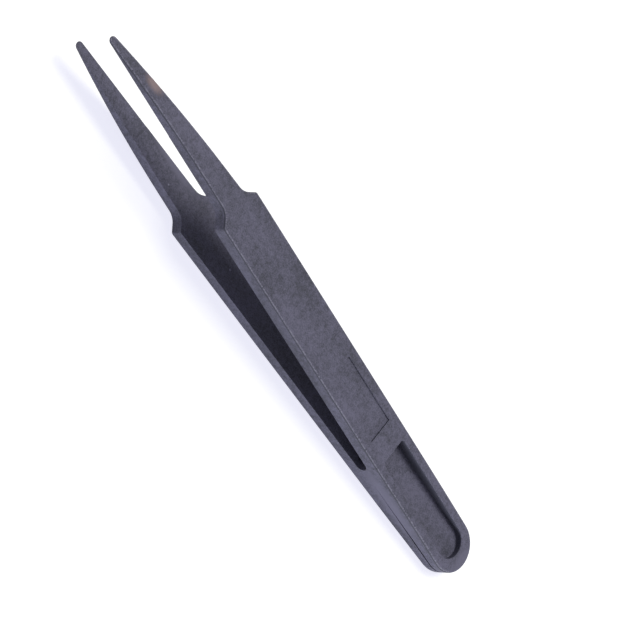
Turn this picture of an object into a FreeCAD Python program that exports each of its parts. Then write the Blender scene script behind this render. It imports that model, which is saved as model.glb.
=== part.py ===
# Plastic tweezers, moulded in one piece from carbon-fibre-filled, anti-static plastic.
#
# The piece is a tuning fork. Two flat arms spread from a solid wedge-shaped tail, and past a pair of
# shoulders each arm narrows to a blade, whose back is level at first and then bows down to a small
# rounded tip.
#
# It is drawn with x running from the tail end to the tips, y across the width and z = 0 on the
# mid-plane between the arms. One arm is made and mirrored. The finished piece is then laid on the
# outer face of its lower arm, tail towards +X, with its origin under the middle of its box.

import FreeCAD, Part

import math
import os

import Sketcher
from FreeCAD import Placement, Rotation, Vector

NODE = "tweezers"

# Driving dimensions in millimetres: name, value and meaning.
SIZES = [
    ("overall_length", 125.6, "tail end to tips"),
    ("blade_length", 38.9, "shoulders to tips"),
    ("tail_width", 10.4, "width of the round tail, and twice its radius in plan"),
    ("shoulder_width", 10.1, "width of the arms at the shoulders"),
    ("tail_height", 3.92, "height over both outer faces, drawn straight to the tail end"),
    ("tail_dip", 0.35, "how far each outer face bends below that at the tail end"),
    ("tail_dip_length", 22.4, "length of tail over which the face bends"),
    ("shoulder_height", 15.12, "height over both outer faces at the shoulders"),
    ("knee_offset", 0.2, "shoulder to where a blade's back turns level"),
    ("knee_radius", 45.0, "radius of that turn"),
    ("belly_offset", 8.0, "shoulder to where a blade's back starts to bow"),
    ("slot_start", 29.2, "tail end to the closed end of the slot"),
    ("slot_end_radius", 1.22, "radius of the closed end of the slot"),
    ("root_offset", 4.6, "shoulder to where the blades' inner faces start"),
    ("root_gap", 10.0, "gap between the blades there"),
    ("tip_gap", 9.5, "gap between the tips"),
    ("tip_thickness", 0.2, "thickness of a blade at its very tip"),
    ("tip_land", 20.3, "length of the set-back gripping face at each tip"),
    ("tip_step", 0.06, "how far that face is set back"),
    ("tip_width", 1.65, "width of a tip, and twice its radius in plan"),
    ("blade_width", 5.6, "width of a blade at the foot of the shoulder ramps"),
    ("ramp_length", 2.0, "length along x of each shoulder ramp"),
    ("shoulder_round", 0.6, "radius of the shoulder's outer corner in plan"),
    ("shoulder_fillet", 3.0, "radius at the foot of the ramp in plan"),
    ("edge_round", 0.38, "radius of the long edges of the outer faces"),
    ("pocket_end_rim", 3.0, "tail end to the tail pocket"),
    ("pocket_width", 6.5, "width of the tail pocket, and twice the radius of its round end"),
    ("pocket_corner", 0.5, "corner radius at the square end of the pocket"),
    ("pocket_rim_round", 0.18, "radius of the pocket's upper edge"),
    ("web_at_tail", 1.24, "thickness of the web between the two pockets at their round ends"),
    ("web_at_slot", 2.9, "thickness of the same web at their square ends"),
    ("panel_start", 34.3, "tail end to the shallow panel"),
    ("panel_length", 15.7, "length of the panel"),
    ("panel_width", 5.9, "width of the panel"),
    ("panel_depth", 0.25, "depth of the panel"),
    ("seam_start", 25.8, "tail end to where the mould's parting line fades out"),
    ("seam_depth", 0.26, "depth of the parting line round the tail"),
    ("seam_width", 0.3, "width of the parting line"),
]

# Places and slopes that follow from the driving dimensions.
SHOULDER = "(Sizes.overall_length - Sizes.blade_length)"
FACE_SLOPE = f"((Sizes.shoulder_height - Sizes.tail_height) / 2 / {SHOULDER})"
WEB_SLOPE = "((Sizes.web_at_slot - Sizes.web_at_tail) / 2 / (Sizes.slot_start - Sizes.pocket_end_rim))"

# How far the outline of a cut runs past the solid.
OVERRUN = 5.0

# How upright a side wall is, how level an outer face is, and what still counts as a pocket's floor.
UPRIGHT = 0.2
LEVEL = 0.8
FLOOR_BAND = 0.05

# Point numbers on a sketch's line or arc, and the sketch's own axes and origin.
START, END, CENTRE = range(1, 4)
X_AXIS, Y_AXIS = -1, -2
SKETCH_ORIGIN = (X_AXIS, START)


def face_height(x):
    """Height of an arm's straight outer face above the mid-plane, at a place along x."""
    return f"Sizes.tail_height / 2 + {FACE_SLOPE} * ({x})"


def make_sizes(doc):
    """Put the driving dimensions in a spreadsheet, one row each."""
    sheet = doc.addObject("Spreadsheet::Sheet", "Sizes")
    for row, (name, value, meaning) in enumerate(SIZES, 1):
        sheet.set(f"A{row}", name)
        sheet.set(f"B{row}", str(value))
        sheet.setAlias(f"B{row}", name)
        sheet.set(f"C{row}", meaning)
    doc.recompute()


def origin_plane(body, role):
    """One of the body's own origin planes."""
    return next(plane for plane in body.Origin.OriginFeatures if plane.Role == role)


def new_sketch(body, name, role):
    """A sketch on one of the body's origin planes."""
    sketch = body.newObject("Sketcher::SketchObject", name)
    sketch.AttachmentSupport = [(origin_plane(body, role), "")]
    sketch.MapMode = "FlatFace"
    body.Document.recompute()
    return sketch


def raise_sketch(sketch, x, height, slope):
    """Lift a sketch's origin to a point above the mid-plane and give the sketch a slope along x."""
    sketch.AttachmentOffset = Placement(Vector(), Rotation(Vector(0, 1, 0), -1))
    sketch.setExpression("AttachmentOffset.Base.x", x)
    sketch.setExpression("AttachmentOffset.Base.z", height)
    sketch.setExpression("AttachmentOffset.Rotation.Angle", f"-atan({slope})")
    sketch.Document.recompute()


def rule_value(sketch, rule):
    """What a rule on the sizes comes to at present."""
    return float(sketch.evalExpression(rule))


def tie(sketch, kind, *places, rule, name):
    """Add a constraint whose value follows a rule on the sizes."""
    number = sketch.addConstraint(Sketcher.Constraint(kind, *places, rule_value(sketch, rule)))
    sketch.renameConstraint(number, name)
    sketch.setExpression(f"Constraints.{name}", rule)


def corner_place(sketch, corner):
    """Where a corner, given as a name and two rules, lies at present."""
    _, x_rule, y_rule = corner
    return Vector(rule_value(sketch, x_rule), rule_value(sketch, y_rule), 0)


def hold(sketch, edge, point, corner):
    """Hold a point of an edge at a corner's two distances from the origin. The rule "0" is an axis."""
    name, x_rule, y_rule = corner
    for kind, axis, rule in (("DistanceX", Y_AXIS, x_rule), ("DistanceY", X_AXIS, y_rule)):
        if rule == "0":
            sketch.addConstraint(Sketcher.Constraint("PointOnObject", edge, point, axis))
        else:
            tie(sketch, kind, *SKETCH_ORIGIN, edge, point, rule=rule, name=f"{name}_{kind[-1]}")


def draw_chain(sketch, corners):
    """Straight edges through corners, each given as a name and the rules of its two distances."""
    places = [corner_place(sketch, corner) for corner in corners]
    edges = [sketch.addGeometry(Part.LineSegment(*ends)) for ends in zip(places, places[1:])]
    for before, after in zip(edges, edges[1:]):
        sketch.addConstraint(Sketcher.Constraint("Coincident", before, END, after, START))
    for edge, corner in zip(edges, corners):
        hold(sketch, edge, START, corner)
    hold(sketch, edges[-1], END, corners[-1])
    return edges


def draw_loop(sketch, corners):
    """Straight edges through corners and back to the first one."""
    edges = draw_chain(sketch, corners)
    ends = sketch.getPoint(edges[-1], END), sketch.getPoint(edges[0], START)
    last = sketch.addGeometry(Part.LineSegment(*ends))
    sketch.addConstraint(Sketcher.Constraint("Coincident", edges[-1], END, last, START))
    sketch.addConstraint(Sketcher.Constraint("Coincident", last, END, edges[0], START))
    return [*edges, last]


def draw_arc(sketch, centre, first, last):
    """An arc about a centre, anticlockwise from one point to another."""
    spokes = [place - centre for place in (first, last)]
    angles = [math.atan2(spoke.y, spoke.x) % math.tau for spoke in spokes]
    circle = Part.Circle(centre, Vector(0, 0, 1), spokes[0].Length)
    return sketch.addGeometry(Part.ArcOfCircle(circle, *angles))


def quarter_turn(direction):
    """A direction turned by a right angle, anticlockwise."""
    return Vector(-direction.y, direction.x, 0)


def way_out(sketch, edge, point):
    """The direction in which a line or an arc leaves through one of its ends."""
    place = sketch.getPoint(edge, point)
    if isinstance(sketch.Geometry[edge], Part.LineSegment):
        return place - sketch.getPoint(edge, START + END - point)
    onward = quarter_turn(place - sketch.getPoint(edge, CENTRE))
    return onward if point == END else -onward


def bend_to(sketch, edge, point, other, other_point):
    """Run smoothly on from the end of an edge by an arc to a point of another edge."""
    first = sketch.getPoint(edge, point)
    last = sketch.getPoint(other, other_point)
    chord = last - first
    side = quarter_turn(way_out(sketch, edge, point)).normalize()
    reach = chord.dot(chord) / (2 * chord.dot(side))
    centre = first + side * reach
    if reach > 0:
        arc, near, far = draw_arc(sketch, centre, first, last), START, END
    else:
        arc, near, far = draw_arc(sketch, centre, last, first), END, START
    sketch.addConstraint(Sketcher.Constraint("Tangent", edge, point, arc, near))
    sketch.addConstraint(Sketcher.Constraint("Coincident", arc, far, other, other_point))


def draw_round_end(sketch, edge, point, axis_edge, axis_point, radius_rule, name):
    """A straight flank from a point of an edge, and a round end that stops on the x axis.

    The round end's centre is on the axis too, on the flank's side of where it stops.
    """
    radius = rule_value(sketch, radius_rule)
    outside = sketch.getPoint(edge, point)
    apex = sketch.getPoint(axis_edge, axis_point)
    side = 1 if outside.x > apex.x else -1
    centre = apex + Vector(side * radius, 0, 0)
    spoke = outside - centre
    angle = math.atan2(spoke.y, spoke.x) + side * math.acos(radius / spoke.Length)
    touch = centre + Vector(radius * math.cos(angle), radius * math.sin(angle), 0)
    flank = sketch.addGeometry(Part.LineSegment(outside, touch))
    if side > 0:
        arc, near, far = draw_arc(sketch, centre, touch, apex), START, END
    else:
        arc, near, far = draw_arc(sketch, centre, apex, touch), END, START
    sketch.addConstraint(Sketcher.Constraint("Coincident", edge, point, flank, START))
    sketch.addConstraint(Sketcher.Constraint("Tangent", flank, END, arc, near))
    sketch.addConstraint(Sketcher.Constraint("Coincident", arc, far, axis_edge, axis_point))
    sketch.addConstraint(Sketcher.Constraint("PointOnObject", arc, CENTRE, X_AXIS))
    tie(sketch, "Radius", arc, rule=radius_rule, name=name)


def round_corner(sketch, edge, point, rule, name):
    """Round the corner at one end of an edge, with its radius tied to a size."""
    sketch.fillet(edge, point, rule_value(sketch, rule), True, True)
    arc = sketch.GeometryCount - 2
    tie(sketch, "Radius", arc, rule=rule, name=name)


def draw_side_profile(body):
    """Half of the side view above the mid-plane, still without the slot."""
    sketch = new_sketch(body, "side_profile", "XZ_Plane")
    knee = f"({SHOULDER} + Sizes.knee_offset)"
    back_height = face_height(knee)
    face, back = draw_chain(sketch, [
        ("dip", "Sizes.tail_dip_length", face_height("Sizes.tail_dip_length")),
        ("knee", knee, back_height),
        ("belly", f"{SHOULDER} + Sizes.belly_offset", back_height),
    ])
    tip, *_, tail = draw_chain(sketch, [
        ("tip_back", "Sizes.overall_length", "Sizes.tip_gap / 2 + Sizes.tip_thickness"),
        ("tip_middle", "Sizes.overall_length", "0"),
        ("tail_middle", "0", "0"),
        ("tail_top", "0", "Sizes.tail_height / 2 - Sizes.tail_dip"),
    ])
    bend_to(sketch, face, START, tail, END)
    bend_to(sketch, back, END, tip, START)
    round_corner(sketch, face, END, "Sizes.knee_radius", "knee_radius")
    return sketch


def draw_slot(body):
    """Half of the slot between the arms in side view: round end, arm, and the blade's gripping face."""
    sketch = new_sketch(body, "slot_profile", "XZ_Plane")
    root = f"({SHOULDER} + Sizes.root_offset)"
    land = "(Sizes.overall_length - Sizes.tip_land)"
    past_tip = f"Sizes.overall_length + {OVERRUN}"
    fall = "(Sizes.root_gap / 2 - Sizes.tip_gap / 2 + Sizes.tip_step)"
    inner_height = f"Sizes.root_gap / 2 - {fall} * ({land} - {root}) / (Sizes.overall_length - {root})"
    middle, *_, inner = draw_chain(sketch, [
        ("slot_end", "Sizes.slot_start", "0"),
        ("mouth_middle", past_tip, "0"),
        ("mouth", past_tip, "Sizes.tip_gap / 2"),
        ("tip", "Sizes.overall_length", "Sizes.tip_gap / 2"),
        ("land", land, f"{inner_height} + Sizes.tip_step"),
        ("step", land, inner_height),
        ("root", root, "Sizes.root_gap / 2"),
    ])
    draw_round_end(sketch, inner, END, middle, START, "Sizes.slot_end_radius", "slot_end_radius")
    return sketch


def draw_plan_waste(body):
    """What lies outside the plan outline on one side: round tail, shoulder, tapered blade, round tip."""
    sketch = new_sketch(body, "plan_waste", "XY_Plane")
    past_tail = f"-{OVERRUN}"
    past_tip = f"Sizes.overall_length + {OVERRUN}"
    past_side = f"Sizes.tail_width + Sizes.shoulder_width + {OVERRUN}"
    frame = draw_chain(sketch, [
        ("tail_end", "0", "0"),
        ("tail_near", past_tail, "0"),
        ("tail_far", past_tail, past_side),
        ("tip_far", past_tip, past_side),
        ("tip_near", past_tip, "0"),
        ("tip_end", "Sizes.overall_length", "0"),
    ])
    ramp, = draw_chain(sketch, [
        ("shoulder", SHOULDER, "Sizes.shoulder_width / 2"),
        ("foot", f"{SHOULDER} + Sizes.ramp_length", "Sizes.blade_width / 2"),
    ])
    draw_round_end(sketch, ramp, START, frame[0], START, "Sizes.tail_width / 2", "tail_radius")
    draw_round_end(sketch, ramp, END, frame[-1], END, "Sizes.tip_width / 2", "tip_radius")
    round_corner(sketch, ramp, START, "Sizes.shoulder_round", "shoulder_round")
    round_corner(sketch, ramp, END, "Sizes.shoulder_fillet", "shoulder_fillet")
    return sketch


def draw_tail_pocket(body):
    """The tail pocket's outline on its own sloping floor: one round end, one square end."""
    sketch = new_sketch(body, "tail_pocket_outline", "XY_Plane")
    centre = "(Sizes.pocket_end_rim + Sizes.pocket_width / 2)"
    floor = f"Sizes.web_at_tail / 2 + {WEB_SLOPE} * Sizes.pocket_width / 2"
    raise_sketch(sketch, centre, floor, WEB_SLOPE)
    square_end = f"Sizes.slot_start - {centre}"
    half_width = "Sizes.pocket_width / 2"
    lower, end, upper = draw_chain(sketch, [
        ("lower_start", "0", f"-{half_width}"),
        ("lower_corner", square_end, f"-{half_width}"),
        ("upper_corner", square_end, half_width),
        ("upper_start", "0", half_width),
    ])
    ends = sketch.getPoint(upper, END), sketch.getPoint(lower, START)
    round_end = draw_arc(sketch, Vector(), *ends)
    sketch.addConstraint(Sketcher.Constraint("Coincident", upper, END, round_end, START))
    sketch.addConstraint(Sketcher.Constraint("Coincident", round_end, END, lower, START))
    sketch.addConstraint(Sketcher.Constraint("PointOnObject", round_end, CENTRE, Y_AXIS))
    round_corner(sketch, lower, END, "Sizes.pocket_corner", "lower_corner_round")
    round_corner(sketch, upper, START, "Sizes.pocket_corner", "upper_corner_round")
    return sketch


def draw_panel(body):
    """The shallow panel's rectangle, drawn on its floor, which lies parallel to the outer face."""
    sketch = new_sketch(body, "panel_outline", "XY_Plane")
    floor = f"{face_height('Sizes.panel_start')} - Sizes.panel_depth / cos(atan({FACE_SLOPE}))"
    raise_sketch(sketch, "Sizes.panel_start", floor, FACE_SLOPE)
    draw_loop(sketch, [
        ("near_left", "0", "-Sizes.panel_width / 2"),
        ("far_left", "Sizes.panel_length", "-Sizes.panel_width / 2"),
        ("far_right", "Sizes.panel_length", "Sizes.panel_width / 2"),
        ("near_right", "0", "Sizes.panel_width / 2"),
    ])
    return sketch


def draw_seam_waste(body):
    """What the mould's parting line takes off one side of the tail: it deepens towards the end."""
    sketch = new_sketch(body, "seam_waste", "XY_Plane")
    taper = f"(Sizes.tail_width - Sizes.shoulder_width) / 2 / ({SHOULDER} - Sizes.tail_width / 2)"
    side = f"Sizes.tail_width / 2 - {taper} * (Sizes.seam_start - Sizes.tail_width / 2)"
    past_side = f"Sizes.tail_width + {OVERRUN}"
    frame = draw_chain(sketch, [
        ("nose_end", "Sizes.seam_depth", "0"),
        ("nose_near", f"-{OVERRUN}", "0"),
        ("nose_far", f"-{OVERRUN}", past_side),
        ("fade_far", "Sizes.seam_start", past_side),
        ("fade", "Sizes.seam_start", side),
    ])
    bottom_radius = "Sizes.tail_width / 2 - Sizes.seam_depth"
    draw_round_end(sketch, frame[-1], END, frame[0], START, bottom_radius, "seam_radius")
    return sketch


def pad_width(body, sketch):
    """Extrude the side profile evenly to both sides, wide enough for the plan outline."""
    pad = body.newObject("PartDesign::Pad", "arm_blank")
    pad.Profile = sketch
    pad.SideType = "Symmetric"
    pad.setExpression("Length", "2 * (Sizes.tail_width + Sizes.shoulder_width)")
    body.Document.recompute()
    return pad


def cut(body, name, sketch, reach, **settings):
    """Pocket a sketch, and make sure that it took something off the solid."""
    before = body.Shape.Volume
    pocket = body.newObject("PartDesign::Pocket", name)
    pocket.Profile = sketch
    for setting, value in settings.items():
        setattr(pocket, setting, value)
    if reach:
        pocket.setExpression("Length", reach)
    body.Document.recompute()
    if not body.Shape.Volume < before:
        raise RuntimeError(f"{name} cuts nothing")
    return pocket


def mirror(body, name, role, originals):
    """Repeat features, or with none the whole solid, on the other side of an origin plane."""
    mirrored = body.newObject("PartDesign::Mirrored", name)
    mirrored.TransformMode = "Features" if originals else "Whole shape"
    mirrored.Originals = originals
    mirrored.MirrorPlane = (origin_plane(body, role), [""])
    body.Tip = mirrored
    body.Document.recompute()
    return mirrored


def upward_lean(face, place):
    """Upward part of a face's outward normal at a place on it."""
    return face.normalAt(*face.Surface.parameter(place)).z


def rim_edges(shape, belongs):
    """Names of the edges where an outer face meets an upright wall, at the places that belong."""
    names = []
    for number, edge in enumerate(shape.Edges, 1):
        place = edge.valueAt((edge.FirstParameter + edge.LastParameter) / 2)
        faces = shape.ancestorsOfType(edge, Part.Face)
        leans = sorted(upward_lean(face, place) for face in faces)
        if len(leans) == 2 and abs(leans[0]) < UPRIGHT and leans[1] > LEVEL and belongs(place):
            names.append(f"Edge{number}")
    return names


def fillet(body, name, rule, belongs):
    """Round the rim edges of the solid as it stands."""
    base = body.Tip
    edges = rim_edges(base.Shape, belongs)
    rounding = body.newObject("PartDesign::Fillet", name)
    rounding.Base = (base, edges)
    rounding.setExpression("Radius", rule)
    body.Document.recompute()
    return rounding


def make_tweezers(doc):
    """The whole moulding, from half a side view to the mirrored pair of arms."""
    body = doc.addObject("PartDesign::Body", "Body")
    body.Label = NODE
    pad_width(body, draw_side_profile(body))
    waste = cut(body, "plan_trim", draw_plan_waste(body), "", SideType="Symmetric", Type="ThroughAll")
    mirror(body, "plan_trim_other_side", "XZ_Plane", [waste])
    fillet(body, "outer_edges", "Sizes.edge_round", lambda place: True)
    cut(body, "slot", draw_slot(body), "", SideType="Symmetric", Type="ThroughAll")

    outline = draw_tail_pocket(body)
    cut(body, "tail_pocket", outline, "", Type="ThroughAll", Reversed=True)
    to_floor = outline.Placement.inverse()
    fillet(body, "tail_pocket_rim", "Sizes.pocket_rim_round",
           lambda place: to_floor.multVec(place).z > FLOOR_BAND)
    mirror(body, "other_arm", "XY_Plane", [])

    cut(body, "panel", draw_panel(body), "", Type="ThroughAll", Reversed=True)
    seam = cut(body, "seam", draw_seam_waste(body), "Sizes.seam_width", SideType="Symmetric")
    mirror(body, "seam_other_side", "XZ_Plane", [seam])
    return body


def lay_down(body):
    """Turn the tweezers to lie on the lower arm's outer face, centred over the origin."""
    slope = float(body.evalExpression(f"atan({FACE_SLOPE})"))
    turn = Rotation(Vector(0, 1, 0), slope).multiply(Rotation(Vector(0, 0, 1), 180))
    body.Placement = Placement(Vector(), turn)
    body.Document.recompute()
    box = body.Shape.optimalBoundingBox(False)
    body.Placement = Placement(Vector(-box.Center.x, -box.Center.y, -box.ZMin), turn)
    body.Document.recompute()


def check(doc, body):
    """Stop if any object failed or the solid is not sound."""
    failed = [item.Name for item in doc.Objects if {"Invalid", "Error"} & set(item.State)]
    if failed:
        raise RuntimeError(f"failed objects: {failed}")
    if body.Shape.isNull() or not body.Shape.isValid() or len(body.Shape.Solids) != 1:
        raise RuntimeError(f"{body.Label} is not one sound solid")


def main():
    doc = FreeCAD.newDocument(NODE)
    make_sizes(doc)
    body = make_tweezers(doc)
    lay_down(body)
    check(doc, body)
    os.makedirs("parts", exist_ok=True)
    body.Shape.exportStep(f"parts/{body.Label}.step")
    box = body.Shape.optimalBoundingBox(False)
    print(f"{body.Label}: {box.XLength:.2f} x {box.YLength:.2f} x {box.ZLength:.2f} mm,"
          f" {body.Shape.Volume / 1000:.3f} cm3, {len(body.Shape.Faces)} faces")


main()
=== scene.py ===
"""The looks of a pair of anti-static tweezers, moulded in one piece from carbon-fibre-filled plastic.

The tweezers lie on the outer face of their lower arm on a white table, tail towards +X. The moulding
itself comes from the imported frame. This script gives it its finish, and adds the table, the light
and the camera.
"""

import logging
import math
from collections.abc import Mapping
from dataclasses import dataclass
from enum import Enum

import bpy
from mathutils import Matrix, Vector


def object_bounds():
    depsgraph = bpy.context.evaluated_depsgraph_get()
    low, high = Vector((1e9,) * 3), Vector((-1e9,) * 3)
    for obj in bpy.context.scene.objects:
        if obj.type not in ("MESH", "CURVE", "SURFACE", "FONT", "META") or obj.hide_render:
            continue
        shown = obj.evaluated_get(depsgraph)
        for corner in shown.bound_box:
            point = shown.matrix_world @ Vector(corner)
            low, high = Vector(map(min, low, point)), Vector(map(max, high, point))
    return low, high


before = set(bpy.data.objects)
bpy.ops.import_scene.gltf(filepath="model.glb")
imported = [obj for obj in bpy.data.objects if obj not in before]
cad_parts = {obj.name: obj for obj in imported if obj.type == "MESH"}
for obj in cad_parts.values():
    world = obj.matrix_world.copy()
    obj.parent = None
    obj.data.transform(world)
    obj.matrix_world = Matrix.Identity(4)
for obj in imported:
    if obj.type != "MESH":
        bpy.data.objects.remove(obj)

CAD_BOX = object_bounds()

MM = 0.001
MOULDING_NODE = "tweezers"

# The colour sockets of a Mix node, which has a set of sockets for each type of data.
MIX_A, MIX_B, MIX_RESULT = 6, 7, 2

# How much fine detail a noise carries: the moulded grain is crisp, and the melt's clouds are soft.
CRISP = {"Detail": 3.0, "Roughness": 0.6}
SOFT = {"Detail": 1.0, "Roughness": 0.5}

# Shares of a mark's reach up to which it is whole, and at which it is gone. The noise that makes its
# edge ragged, about a half, is first added to the distance from its centre.
MARK_WHOLE, MARK_GONE = 0.8, 1.8

log = logging.getLogger("tweezers_scene")

Colour = tuple[float, float, float, float]
Place = tuple[float, float, float]
Node = bpy.types.Node
NodeTree = bpy.types.NodeTree


def linear(hex_colour: str) -> Colour:
    """Turn an sRGB hex colour into the linear colour that a shader takes.

    Args:
        hex_colour: Six hex digits, with or without a leading #.

    Returns:
        Linear red, green and blue, and an alpha of 1.
    """
    digits = hex_colour.lstrip("#")
    channels = [int(digits[start:start + 2], 16) / 255 for start in (0, 2, 4)]
    # The sRGB curve is straight near black and a power above it.
    red, green, blue = (
        value / 12.92 if value <= 0.04045 else ((value + 0.055) / 1.055) ** 2.4
        for value in channels
    )
    return red, green, blue, 1.0


def direction(azimuth: float, elevation: float) -> Vector:
    """Turn two angles into a direction.

    Args:
        azimuth: Angle round the upright axis from +X, in degrees.
        elevation: Angle over the table, in degrees.

    Returns:
        A unit vector.
    """
    around, up = math.radians(azimuth), math.radians(elevation)
    level = math.cos(up)
    return Vector((level * math.cos(around), level * math.sin(around), math.sin(up)))


def add_node(
    tree: NodeTree, kind: str, inputs: Mapping[str | int, object] | None = None, **settings: object
) -> Node:
    """Add a node with its settings, constants and links.

    Args:
        tree: The material's or world's node tree.
        kind: The node's type name.
        inputs: What goes into each socket, by name or number: a constant, an output socket, or a node
            whose first output is linked.
        settings: The node's own properties.

    Returns:
        The new node.
    """
    node = tree.nodes.new(kind)
    for name, value in settings.items():
        setattr(node, name, value)
    for socket, value in (inputs or {}).items():
        if isinstance(value, Node):
            value = value.outputs[0]
        if isinstance(value, bpy.types.NodeSocket):
            tree.links.new(value, node.inputs[socket])
        else:
            node.inputs[socket].default_value = value
    return node


def seen_ray(tree: NodeTree) -> Node:
    """Tell rays that show a surface to the eye, straight or in a gloss, from those that light it.

    Args:
        tree: The material's or world's node tree.

    Returns:
        A node whose output is 1 for a camera, glossy or transmission ray.
    """
    path = add_node(tree, "ShaderNodeLightPath")
    direct = add_node(tree, "ShaderNodeMath", {
        0: path.outputs["Is Camera Ray"], 1: path.outputs["Is Glossy Ray"],
    }, operation="MAXIMUM")
    return add_node(tree, "ShaderNodeMath", {
        0: direct, 1: path.outputs["Is Transmission Ray"],
    }, operation="MAXIMUM")


@dataclass(frozen=True)
class MouldAxes:
    """The moulding's own axes: x from the tail end to the tips, y across, z up from the mid-plane.

    Attributes:
        tail_inset: How far the tail end on the mid-plane lies inside the frame's box, in mm.
        tail_rise: Its height over the table, in mm.
        spread: Slope of the outer faces away from the mid-plane, in degrees.
    """

    tail_inset: float = 0.08
    tail_rise: float = 1.956
    spread: float = 3.696

    def coordinates(self, tree: NodeTree) -> Node:
        """Give a shader the place on the moulding in millimetres along its own axes.

        Args:
            tree: The material's node tree.

        Returns:
            The mapping node, whose output is the place.
        """
        high_corner = CAD_BOX[1]
        tail = Vector((high_corner[0] - self.tail_inset * MM, 0.0, self.tail_rise * MM))
        on_object = add_node(tree, "ShaderNodeTexCoord").outputs["Object"]
        return add_node(tree, "ShaderNodeMapping", {
            "Vector": on_object,
            "Location": tail,
            "Rotation": (0.0, -math.radians(self.spread), math.pi),
            "Scale": (MM, MM, MM),
        }, vector_type="TEXTURE")


class StainAndLight(Enum):
    """What a mark on the moulding is, with the colour that it leaves.

    A rub has bared a lighter, browner plastic. Painted light lightens a patch where the lamps fall more
    strongly. Dust sits in small pale specks. Painted shade darkens the seam, a nick in it and the step
    on a tip, where shade falls.
    """

    RUB = "#7E6C67"
    PAINTED_LIGHT = "#555361"
    DUST = "#8B8996"
    PAINTED_SHADE = "#1C1B24"


@dataclass(frozen=True)
class Mark:
    """A small mark on the moulding, with a soft and ragged edge.

    Attributes:
        stain_and_light: What it is: a stain, a speck, or a patch of painted light or painted shade.
        centre: Where it is, in mm along the mould axes.
        reach: How far it reaches from there along each axis, in mm.
    """

    stain_and_light: StainAndLight
    centre: Place
    reach: Place

    def mask(self, tree: NodeTree, place: Node, ragged: Node) -> Node:
        """Find the places that the mark covers.

        Args:
            tree: The material's node tree.
            place: The place on the moulding, in mm along the mould axes.
            ragged: A noise that eats into the mark's edge.

        Returns:
            A node whose output is 1 in the mark and 0 outside it.
        """
        from_centre = add_node(tree, "ShaderNodeMapping", {
            "Vector": place, "Location": self.centre, "Scale": self.reach,
        }, vector_type="TEXTURE")
        distance = add_node(tree, "ShaderNodeVectorMath", {0: from_centre}, operation="LENGTH")
        uneven = add_node(tree, "ShaderNodeMath", {
            0: distance.outputs["Value"], 1: ragged,
        }, operation="ADD")
        return add_node(tree, "ShaderNodeMapRange", {
            "Value": uneven, "From Min": MARK_WHOLE, "From Max": MARK_GONE,
            "To Min": 1.0, "To Max": 0.0,
        }, interpolation_type="SMOOTHSTEP")


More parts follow.
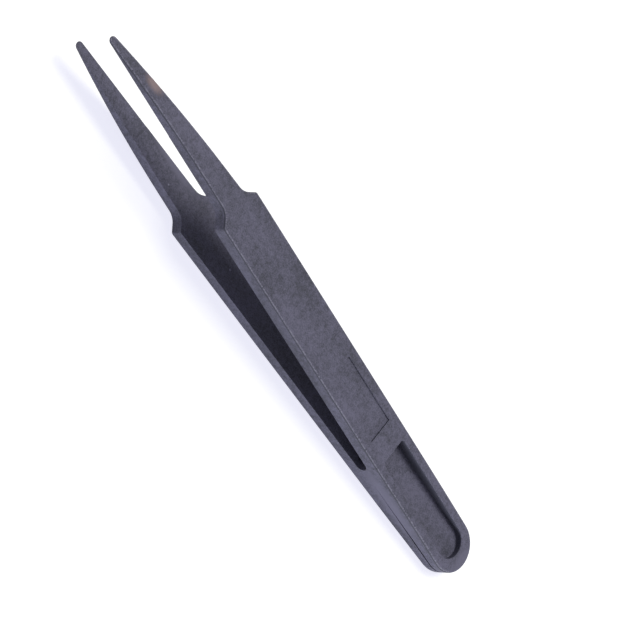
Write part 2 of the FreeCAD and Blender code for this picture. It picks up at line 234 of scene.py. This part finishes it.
@dataclass(frozen=True)
class MouldedCarbonPlastic:
    """Carbon-fibre-filled nylon, injection-moulded against spark-eroded steel.

    The carbon makes it a charcoal that is a little blue. The eroded steel leaves a fine matte grain, so
    it has a dull sheen and no sharp reflection. The flow of the melt shows as a cloudy mottle drawn out
    along the arms, broken up by blotches where the filler lies near the surface. Edges that rub against
    hands and tables are polished paler, in a broken line, and made paler still as a painted highlight.
    The lower part of each edge's rounding is darkened as painted shade, and so are the walls of the
    pocket.

    Attributes:
        charcoal: The plastic's own colour.
        cloud_and_shade: The darker colour of the clouds, which also darkens the foot of an edge as
        painted shade.
        worn_and_highlit: The paler colour of a rubbed edge, which also lightens its crest as a painted
        highlight.
        pocket_wall_shade: The colour of the painted shade on the pocket's walls.
        roughness: Roughness of the matte grain.
        polished: Roughness of a rubbed edge.
        ior: The usual one of nylon.
        grain_mm: Width of a grain.
        grain_depth_mm: Its depth.
        blotch_mm: Width of a blotch.
        cloud_mm: Width of a cloud.
        cloud_squeeze: What the place is multiplied by, so that the clouds are drawn out along x.
        grain_weight: How strongly the grain counts in the mottle.
        cloud_weight: How strongly the clouds and the blotches do.
        mottle_range: The mottle at which it is all cloud, and at which it is all charcoal.
        pocket_mm: Where the pocket has ended, along the arm and to each side.
        slot_end_mm: How far from the mid-plane the slot's round end reaches. Its edges get no rubbed
        crest, painted highlight or painted shade.
        highlit_crest_levels: How level the surface is, as a share, where the crest of an edge starts,
            is
        full, starts to fade and ends. The crest is rubbed paler and also gets a painted highlight.
        shaded_foot_levels: The same for the foot of an edge, which gets painted shade.
        shaded_wall_levels: How level it is where the painted shade on a wall starts to fade and ends.
        rub_and_highlight_range: The grain's noise at which the rub and the painted highlight on a crest
        don't reach it, and at which they do.
        axes: The moulding's own axes.
        marks: Its stains and specks, and its patches of painted light and painted shade.
    """

    charcoal: str = "#545261"
    cloud_and_shade: str = "#1A1B28"
    worn_and_highlit: str = "#6D6B75"
    pocket_wall_shade: str = "#393945"
    roughness: float = 0.72
    polished: float = 0.6
    ior: float = 1.53
    # A real grain, left by a spark's crater in the steel, is about 0.05 mm wide. That is a quarter of
    # what one pixel of the picture covers, so the grain is drawn coarser and deeper to show.
    grain_mm: float = 0.28
    grain_depth_mm: float = 0.04
    # The filler lies unevenly over about a millimetre. The melt's clouds are half as wide as an arm,
    # and two and a half times as long as they are wide.
    blotch_mm: float = 1.0
    cloud_mm: float = 5.0
    cloud_squeeze: Place = (0.4, 1.0, 1.0)
    grain_weight: float = 1.3
    cloud_weight: float = 0.6
    mottle_range: tuple[float, float] = (0.94, 1.5)
    pocket_mm: tuple[float, float] = (33.0, 3.7)
    slot_end_mm: float = 1.3
    highlit_crest_levels: tuple[float, ...] = (0.55, 0.85, 0.95, 0.975)
    shaded_foot_levels: tuple[float, ...] = (0.03, 0.12, 0.45, 0.75)
    shaded_wall_levels: tuple[float, float] = (0.3, 0.8)
    rub_and_highlight_range: tuple[float, float] = (0.35, 0.6)
    axes: MouldAxes = MouldAxes()
    marks: tuple[Mark, ...] = (
        Mark(StainAndLight.RUB, centre=(114.6, -0.8, 6.9), reach=(2.3, 1.2, 1.5)),
        # The next three marks are painted light: the tail's side, its end and the far edge of the lower
        # blade's inner face are made lighter where the lamps fall more strongly.
        Mark(StainAndLight.PAINTED_LIGHT, centre=(20.0, 5.2, 0.5), reach=(10.0, 0.5, 2.0)),
        Mark(StainAndLight.PAINTED_LIGHT, centre=(0.9, 0.0, 2.0), reach=(1.6, 3.8, 2.0)),
        Mark(StainAndLight.PAINTED_LIGHT, centre=(96.0, -2.1, -4.8), reach=(7.0, 1.0, 0.6)),
        Mark(StainAndLight.DUST, centre=(94.6, 1.2, -4.8), reach=(0.2, 0.2, 0.4)),
        Mark(StainAndLight.DUST, centre=(74.9, 1.5, -3.9), reach=(0.25, 0.2, 0.5)),
        # The next three marks are painted shade: in the nick, along the seam and at the step on the
        # lower tip.
        Mark(StainAndLight.PAINTED_SHADE, centre=(9.7, 5.2, -0.6), reach=(0.4, 0.4, 0.15)),
        Mark(StainAndLight.PAINTED_SHADE, centre=(9.5, 5.2, -0.05), reach=(4.0, 0.4, 0.14)),
        Mark(StainAndLight.PAINTED_SHADE, centre=(105.1, -0.8, -4.7), reach=(0.1, 0.7, 0.4)),
    )

    def build(self) -> bpy.types.Material:
        """Make the material.

        Returns:
            The finished material.
        """
        material = bpy.data.materials.new("moulded_carbon_plastic")
        material.use_nodes = True
        tree = material.node_tree
        tree.nodes.clear()
        place = self.axes.coordinates(tree)
        grain = add_node(tree, "ShaderNodeTexNoise", {
            "Vector": place, "Scale": 1 / self.grain_mm, **CRISP,
        })
        colour = self.flow_colour(tree, place, grain)
        highlit_crest, shaded_foot, shaded_wall = self.wear_and_shade(tree, place, grain)
        # The crest layer is a rubbed edge made paler still as a painted highlight. The foot and wall
        # layers are painted shade.
        layers = [(highlit_crest, self.worn_and_highlit), (shaded_foot, self.cloud_and_shade), (shaded_wall, self.pocket_wall_shade)]
        layers += [(mark.mask(tree, place, grain), mark.stain_and_light.value) for mark in self.marks]
        for share, tone in layers:
            colour = add_node(tree, "ShaderNodeMix", {
                "Factor": share, MIX_A: colour.outputs[MIX_RESULT], MIX_B: linear(tone),
            }, data_type="RGBA")
        dull = add_node(tree, "ShaderNodeMapRange", {
            "Value": highlit_crest, "To Min": self.roughness, "To Max": self.polished,
        })
        bump = add_node(tree, "ShaderNodeBump", {
            "Strength": 1.0, "Distance": self.grain_depth_mm * MM, "Height": grain,
        })
        shader = add_node(tree, "ShaderNodeBsdfPrincipled", {
            "Base Color": colour.outputs[MIX_RESULT], "Roughness": dull, "IOR": self.ior,
            "Normal": bump,
        })
        add_node(tree, "ShaderNodeOutputMaterial", {"Surface": shader})
        return material

    def flow_colour(self, tree: NodeTree, place: Node, grain: Node) -> Node:
        """Shade the melt's cloudy flow, the filler's blotches and the moulded grain.

        Args:
            tree: The material's node tree.
            place: The place on the moulding, in mm along the mould axes.
            grain: The grain's noise.

        Returns:
            The node with the colour.
        """
        drawn_out = add_node(tree, "ShaderNodeVectorMath", {
            0: place, 1: self.cloud_squeeze,
        }, operation="MULTIPLY")
        clouds = add_node(tree, "ShaderNodeTexNoise", {
            "Vector": drawn_out, "Scale": 1 / self.cloud_mm, **SOFT,
        })
        blotches = add_node(tree, "ShaderNodeTexNoise", {
            "Vector": place, "Scale": 1 / self.blotch_mm, **SOFT,
        })
        broad = add_node(tree, "ShaderNodeMath", {0: clouds, 1: blotches}, operation="ADD")
        weighed = add_node(tree, "ShaderNodeMath", {
            0: broad, 1: self.cloud_weight,
        }, operation="MULTIPLY")
        mottle = add_node(tree, "ShaderNodeMath", {
            0: grain, 1: self.grain_weight, 2: weighed,
        }, operation="MULTIPLY_ADD")
        all_cloud, all_charcoal = self.mottle_range
        clear = add_node(tree, "ShaderNodeMapRange", {
            "Value": mottle, "From Min": all_cloud, "From Max": all_charcoal,
        })
        return add_node(tree, "ShaderNodeMix", {
            "Factor": clear, MIX_A: linear(self.cloud_and_shade), MIX_B: linear(self.charcoal),
        }, data_type="RGBA")

    def wear_and_shade(self, tree: NodeTree, place: Node, grain: Node) -> tuple[Node, Node, Node]:
        """Find the rounding of the outer faces' long edges, and the walls of the pocket.

        Args:
            tree: The material's node tree.
            place: The place on the moulding, in mm along the mould axes.
            grain: The grain's noise, which breaks up the rubbed and painted-highlight crest.

        Returns:
            The rounding's crest, next to the face, which is rubbed and also gets a painted highlight,
            its foot, next to the side wall, which gets painted shade, and the pocket's walls, which get
            painted shade. Each is a node whose output is 1 there and 0 elsewhere.
        """
        away = add_node(tree, "ShaderNodeVectorMath", {0: place}, operation="ABSOLUTE")
        where = add_node(tree, "ShaderNodeSeparateXYZ", {0: away})
        pocket_end, pocket_side = self.pocket_mm
        past_end, past_side, past_slot = (
            add_node(tree, "ShaderNodeMath", {
                0: where.outputs[axis], 1: limit,
            }, operation="GREATER_THAN")
            for axis, limit in (("X", pocket_end), ("Y", pocket_side), ("Z", self.slot_end_mm))
        )
        past_pocket = add_node(tree, "ShaderNodeMath", {
            0: past_end, 1: past_side,
        }, operation="MAXIMUM")
        inside = add_node(tree, "ShaderNodeMath", {0: 1.0, 1: past_pocket}, operation="SUBTRACT")
        outside = add_node(tree, "ShaderNodeMath", {
            0: past_pocket, 1: past_slot,
        }, operation="MULTIPLY")
        not_reached, reached = self.rub_and_highlight_range
        rubbed_and_highlit = add_node(tree, "ShaderNodeMapRange", {
            "Value": grain, "From Min": not_reached, "From Max": reached,
        })
        broken = add_node(tree, "ShaderNodeMath", {0: outside, 1: rubbed_and_highlit}, operation="MULTIPLY")

        on_object = add_node(tree, "ShaderNodeTexCoord").outputs["Normal"]
        normal = add_node(tree, "ShaderNodeSeparateXYZ", {0: on_object})
        level = add_node(tree, "ShaderNodeMath", {0: normal.outputs["Z"]}, operation="ABSOLUTE")
        # The rubbed crest, made paler still as a painted highlight.
        highlit_crest = self.band(tree, level, broken, self.highlit_crest_levels)
        # Painted shade on the foot of each edge.
        shaded_foot = self.band(tree, level, outside, self.shaded_foot_levels)
        # Painted shade on the walls of the pocket.
        fades, ends = self.shaded_wall_levels
        steep = add_node(tree, "ShaderNodeMapRange", {
            "Value": level, "From Min": fades, "From Max": ends, "To Min": 1.0, "To Max": 0.0,
        }, interpolation_type="SMOOTHSTEP")
        shaded_wall = add_node(tree, "ShaderNodeMath", {0: steep, 1: inside}, operation="MULTIPLY")
        return highlit_crest, shaded_foot, shaded_wall

    @staticmethod
    def band(tree: NodeTree, value: Node, within: Node, limits: tuple[float, ...]) -> Node:
        """Rise smoothly from 0 to 1 and fall back, as a value passes four limits.

        Args:
            tree: The material's node tree.
            value: The value.
            within: What the result is multiplied by.
            limits: Where it starts to rise, reaches 1, starts to fall and is back at 0.

        Returns:
            The node with the result.
        """
        starts, full, falls, ends = limits
        rise = add_node(tree, "ShaderNodeMapRange", {
            "Value": value, "From Min": starts, "From Max": full,
        }, interpolation_type="SMOOTHSTEP")
        fall = add_node(tree, "ShaderNodeMapRange", {
            "Value": value, "From Min": falls, "From Max": ends, "To Min": 1.0, "To Max": 0.0,
        }, interpolation_type="SMOOTHSTEP")
        both = add_node(tree, "ShaderNodeMath", {0: rise, 1: fall}, operation="MULTIPLY")
        return add_node(tree, "ShaderNodeMath", {0: both, 1: within}, operation="MULTIPLY")


@dataclass
class Tweezers:
    """The one moulding, which comes from the frame and gets its finish here.

    Attributes:
        finish: What it is made of.
    """

    finish: MouldedCarbonPlastic = MouldedCarbonPlastic()

    def dress(self) -> bpy.types.Object:
        """Give the moulding its finish.

        Returns:
            The moulding.
        """
        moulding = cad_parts[MOULDING_NODE]
        material = self.finish.build()
        for slot in moulding.material_slots:
            slot.material = material
        return moulding


@dataclass(frozen=True)
class PaintedTable:
    """A smooth board, painted matte white.

    Where the eye sees it, it is as pale as an overexposed sheet. Its own blue-white is given outright,
    and only the last warm share comes from the lamps, so the shadow is light and a little blue.

    Attributes:
        white: The paint's colour, which lights the tweezers from below.
        seen: The blue-white that it shows in the shadow.
        lamplit: The share that lamplight adds to that.
        half_width: Half its width, in metres. Further out the lamps leave it less than white.
        clearance: How far it lies under the moulding, in mm, so that no face lies in the board.
    """

    white: str = "#EDEDFB"
    seen: str = "#E1E1F0"
    lamplit: str = "#B2B290"
    half_width: float = 0.8
    clearance: float = 0.02

    def build(self) -> bpy.types.Object:
        """Lay the table under the tweezers.

        Returns:
            The table.
        """
        reach, top = self.half_width, -self.clearance * MM
        round_the_edge = ((-1, -1), (1, -1), (1, 1), (-1, 1))
        corners = [(along * reach, across * reach, top) for along, across in round_the_edge]
        mesh = bpy.data.meshes.new("table_top")
        mesh.from_pydata(corners, [], [(0, 1, 2, 3)])
        mesh.materials.append(self.paint())
        table = bpy.data.objects.new("table_top", mesh)
        bpy.context.scene.collection.objects.link(table)
        return table

    def paint(self) -> bpy.types.Material:
        """Make the table's paint.

        Returns:
            The finished material.
        """
        material = bpy.data.materials.new("matte_white_paint")
        material.use_nodes = True
        tree = material.node_tree
        tree.nodes.clear()
        paint = add_node(tree, "ShaderNodeBsdfDiffuse", {"Color": linear(self.white)})
        glow = add_node(tree, "ShaderNodeEmission", {"Color": linear(self.seen), "Strength": 1.0})
        lamplight = add_node(tree, "ShaderNodeBsdfDiffuse", {"Color": linear(self.lamplit)})
        pale = add_node(tree, "ShaderNodeAddShader", {0: glow, 1: lamplight})
        either = add_node(tree, "ShaderNodeMixShader", {0: seen_ray(tree), 1: paint, 2: pale})
        add_node(tree, "ShaderNodeOutputMaterial", {"Surface": either})
        return material


@dataclass(frozen=True)
class Softbox:
    """A diffuser panel that hangs over the table or stands on it, and faces the tweezers.

    Attributes:
        name: The lamp's name.
        azimuth: Its direction round the tweezers from +X, in degrees.
        elevation: Its height over the table, in degrees.
        distance: How far off it is, in metres.
        width: Its width, in metres.
        height: Its height, in metres.
        watts: Its power.
        tint: Its colour.
    """

    name: str
    azimuth: float
    elevation: float
    distance: float
    width: float
    height: float
    watts: float
    tint: str

    def build(self) -> bpy.types.Object:
        """Put the panel in its place.

        Returns:
            The lamp.
        """
        light = bpy.data.lights.new(self.name, "AREA")
        light.shape = "RECTANGLE"
        light.size = self.width
        light.size_y = self.height
        light.energy = self.watts
        light.color = linear(self.tint)[:3]
        lamp = bpy.data.objects.new(self.name, light)
        towards = direction(self.azimuth, self.elevation)
        lamp.location = towards * self.distance
        lamp.rotation_euler = towards.to_track_quat("Z", "Y").to_euler()
        bpy.context.scene.collection.objects.link(lamp)
        return lamp


@dataclass(frozen=True)
class Studio:
    """A soft key over the far side of the tweezers, a low strip in front of them and a dim even fill.

    The strip stands on the table. From so low down it lights the tweezers' side faces and the crest of
    each edge, and hardly gets down into the pocket.

    Attributes:
        fill: Colour of the world's light.
        fill_strength: Its strength.
        backdrop: What the world looks like, at a strength of 1.
        key: The lamp overhead.
        strip: The lamp on the table.
    """

    fill: str = "#CFD3FF"
    fill_strength: float = 0.3
    backdrop: str = "#FFFFFF"
    key: Softbox = Softbox(
        "key_softbox", azimuth=82.0, elevation=67.5, distance=1.2, width=0.66, height=0.66,
        watts=12.6, tint="#FBFBFF",
    )
    strip: Softbox = Softbox(
        "low_strip", azimuth=-54.0, elevation=1.4, distance=0.55, width=0.8, height=0.026,
        watts=3.45, tint="#F1F5FF",
    )

    def build(self) -> None:
        """Set up the world's fill and backdrop, and put both lamps in their places."""
        world = bpy.data.worlds.new("light_tent")
        bpy.context.scene.world = world
        world.use_nodes = True
        tree = world.node_tree
        tree.nodes.clear()
        fill = add_node(tree, "ShaderNodeBackground", {
            "Color": linear(self.fill), "Strength": self.fill_strength,
        })
        backdrop = add_node(tree, "ShaderNodeBackground", {
            "Color": linear(self.backdrop), "Strength": 1.0,
        })
        either = add_node(tree, "ShaderNodeMixShader", {0: seen_ray(tree), 1: fill, 2: backdrop})
        add_node(tree, "ShaderNodeOutputWorld", {"Surface": either})
        for softbox in (self.key, self.strip):
            log.info("lit %s", softbox.build().name)


@dataclass(frozen=True)
class Viewpoint:
    """Where the camera stands.

    Attributes:
        aim: The point in the middle of the picture, in mm.
        azimuth: Direction from that point to the camera, in degrees from +X.
        elevation: Height of that direction over the table, in degrees.
        roll: How far the camera is turned about its own axis, in degrees.
        distance: How far off it stands, in mm.
        focal_length: Its focal length, in mm on a 36 mm sensor.
    """

    aim: Place = (6.715, 6.02, 5.0)
    azimuth: float = -126.511
    elevation: float = 51.216
    roll: float = 83.245
    distance: float = 568.72
    focal_length: float = 176.53

    def build(self) -> bpy.types.Object:
        """Stand the camera and make it the scene's own.

        Returns:
            The camera.
        """
        data = bpy.data.cameras.new("viewpoint")
        data.lens = self.focal_length
        camera = bpy.data.objects.new("viewpoint", data)
        towards = direction(self.azimuth, self.elevation)
        upright = towards.to_track_quat("Z", "Y").to_matrix()
        turned = upright @ Matrix.Rotation(math.radians(self.roll), 3, "Z")
        stand = Matrix.Translation(Vector(self.aim) * MM + towards * self.distance * MM)
        camera.matrix_world = stand @ turned.to_4x4()
        bpy.context.scene.collection.objects.link(camera)
        bpy.context.scene.camera = camera
        return camera


def main() -> None:
    """Dress the tweezers and set up the table, the light and the camera."""
    logging.basicConfig(level=logging.INFO, format="%(message)s")
    bpy.context.scene.view_settings.view_transform = "Standard"
    log.info("dressed %s", Tweezers().dress().name)
    log.info("laid %s", PaintedTable().build().name)
    Studio().build()
    log.info("stood %s", Viewpoint().build().name)


if __name__ == "__main__":
    main()
